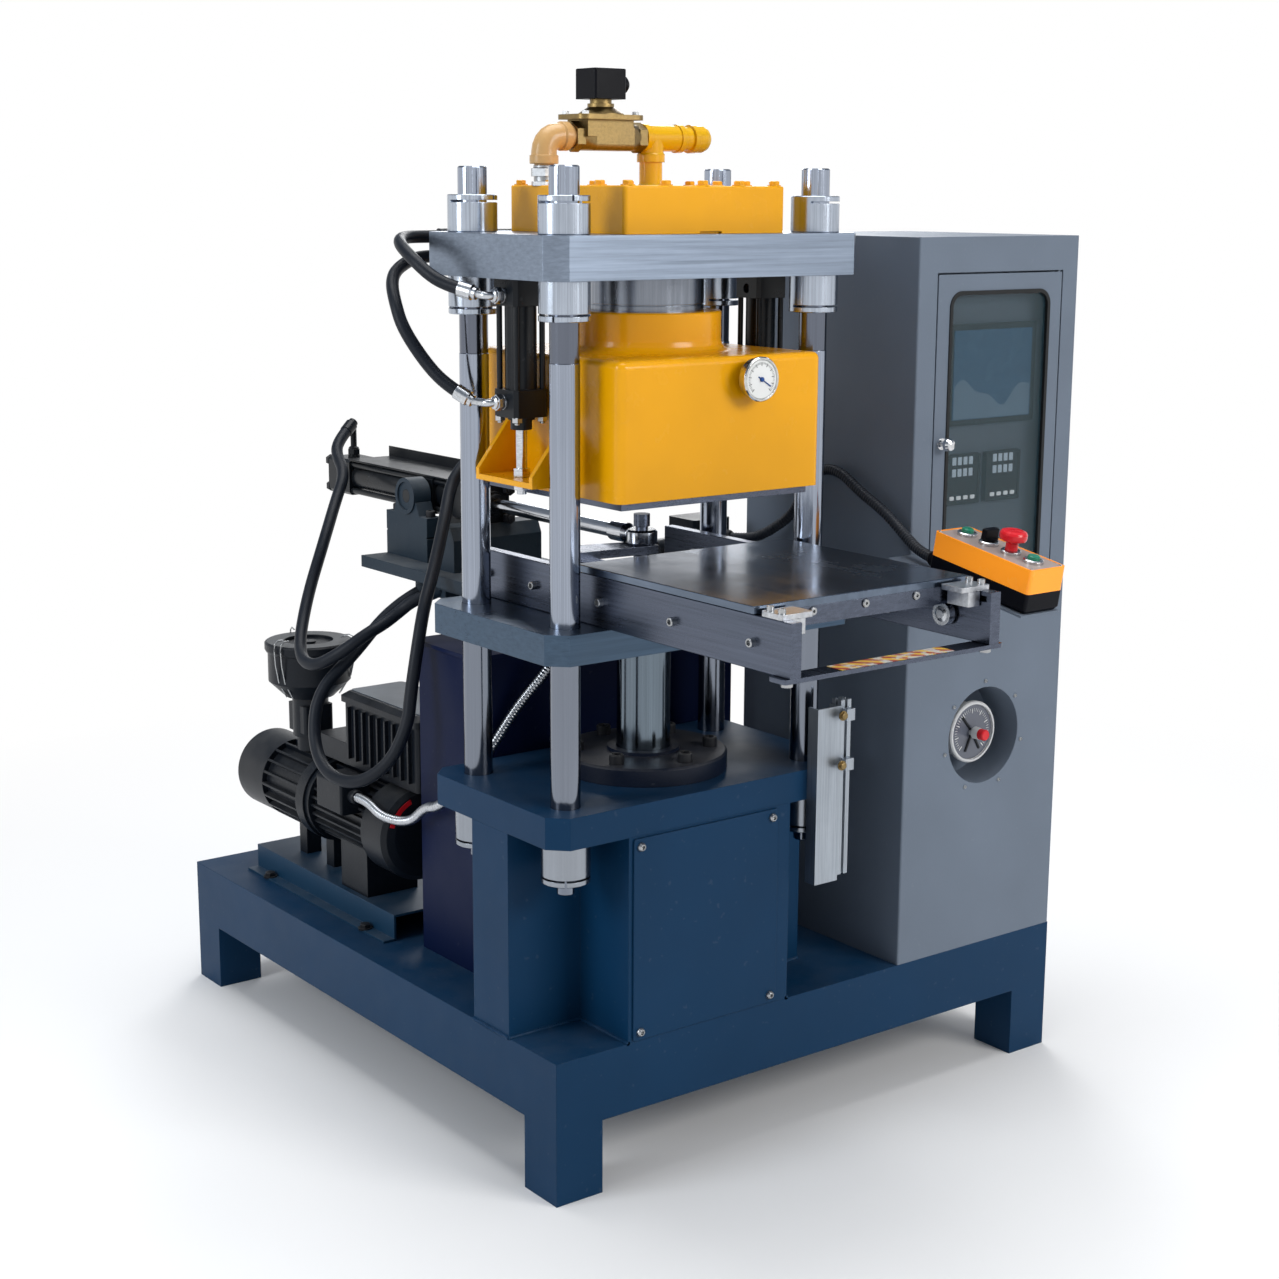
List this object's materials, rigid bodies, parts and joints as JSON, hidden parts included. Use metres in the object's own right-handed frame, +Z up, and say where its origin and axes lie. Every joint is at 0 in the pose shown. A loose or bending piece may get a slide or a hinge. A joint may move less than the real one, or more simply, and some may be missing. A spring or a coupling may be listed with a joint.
{
  "type": "vacuum vulcanizing machine",
  "caption": "Column press with a drop-down vacuum hood, a slide-out heated table, a control cabinet and a vacuum pump set on one welded base.",
  "frame": {"origin": "middle of the machine at floor level", "axes": "+Z up, +Y towards the back, +X to the right towards the cabinet when seen from the front"},
  "size_m": [1.0626, 1.5046, 1.574],
  "materials": {
    "blue_paint": "satin",
    "grey_paint": "satin",
    "yellow_paint": "gloss",
    "ground_steel": "brushed",
    "polished_steel": "polished",
    "black_metal": "satin",
    "dark_grey_metal": "satin",
    "brass": "satin",
    "alloy": "brushed",
    "black_plastic": "matte",
    "orange_plastic": "gloss",
    "green_plastic": "gloss",
    "red_plastic": "gloss",
    "smoked_glass": "gloss",
    "navy_paint": "satin",
    "hose_rubber": "matte"
  },
  "bodies": {
    "frame": {"base_frame": "blue_paint", "box_conduit": "black_plastic", "button_collars": "alloy", "cabinet": "grey_paint", "column_nuts": "ground_steel", "columns": "polished_steel", "contact_gauge": "alloy", "control_box_base": "black_plastic", "control_box_top": "orange_plastic", "control_shelf": "grey_paint", "hose_elbows": "polished_steel", "instruments": "black_plastic", "lift_cylinders": "black_metal", "lower_hose": "hose_rubber", "lower_plate": "blue_paint", "oil_tank": "navy_paint", "pipe_elbow": "brass", "press_tower": "blue_paint", "pump_body": "black_metal", "pump_filter": "black_metal", "pump_motor": "black_metal", "pump_mount": "blue_paint", "ram_cylinder": "dark_grey_metal", "sensor_rail": "alloy", "tank_conduit": "alloy", "top_box": "yellow_paint", "top_plate": "ground_steel", "tower_cover": "blue_paint", "upper_barrel": "ground_steel", "upper_heat_plate": "ground_steel", "upper_hose": "hose_rubber", "vacuum_pipe": "yellow_paint", "vacuum_valve": "brass", "valve_coil": "black_plastic", "valve_manifold": "black_metal"},
    "platen": {"platen": "ground_steel", "ram": "polished_steel", "slide_rails": "ground_steel", "tie_plate": "ground_steel", "rollers": "polished_steel", "cylinder_bracket": "dark_grey_metal", "trunnion_blocks": "dark_grey_metal", "table_cylinder": "black_metal", "rear_hose": "hose_rubber", "front_hose": "hose_rubber"},
    "table": {"table_plate": "polished_steel", "lower_heat_plate": "ground_steel", "table_link": "ground_steel", "table_rod": "polished_steel"},
    "hood": {"hood": "yellow_paint", "hood_brackets": "yellow_paint", "lift_rods": "polished_steel", "hood_gauge": "polished_steel"},
    "door": {"door_frame": "grey_paint", "door_glass": "smoked_glass", "door_knob": "polished_steel"},
    "start_rear": {"start_button_rear": "green_plastic"},
    "start_front": {"start_button_front": "green_plastic"},
    "selector": {"selector_knob": "black_plastic"},
    "stop": {"stop_button": "red_plastic"}
  },
  "joints": [
    {"name": "platen_lift", "type": "slide", "parent": "frame", "child": "platen", "axis": [0, 0, 1], "range_m": [0, 0.03]},
    {"name": "table_slide", "type": "slide", "parent": "platen", "child": "table", "axis": [0, 1, 0], "range_m": [0, 0.282]},
    {"name": "hood_drop", "type": "slide", "parent": "frame", "child": "hood", "axis": [0, 0, -1], "range_m": [0, 0.055]},
    {"name": "cabinet_door", "type": "hinge", "parent": "frame", "child": "door", "pos_m": [0.4595, -0.37775, 1.028], "axis": [0, 0, 1], "range_deg": [0, 110]},
    {"name": "start_rear_press", "type": "slide", "parent": "frame", "child": "start_rear", "axis": [0, 0.1668, -0.986], "range_m": [0, 0.003], "stiffness_N_per_m": 600},
    {"name": "start_front_press", "type": "slide", "parent": "frame", "child": "start_front", "axis": [0, 0.1668, -0.986], "range_m": [0, 0.003], "stiffness_N_per_m": 600},
    {"name": "selector_turn", "type": "hinge", "parent": "frame", "child": "selector", "pos_m": [0.1495, -0.54621, 0.91557], "axis": [0, 0.1668, -0.986], "range_deg": [0, 60]},
    {"name": "stop_press", "type": "slide", "parent": "frame", "child": "stop", "axis": [0, 0.1668, -0.986], "range_m": [0, 0.004]}
  ]
}
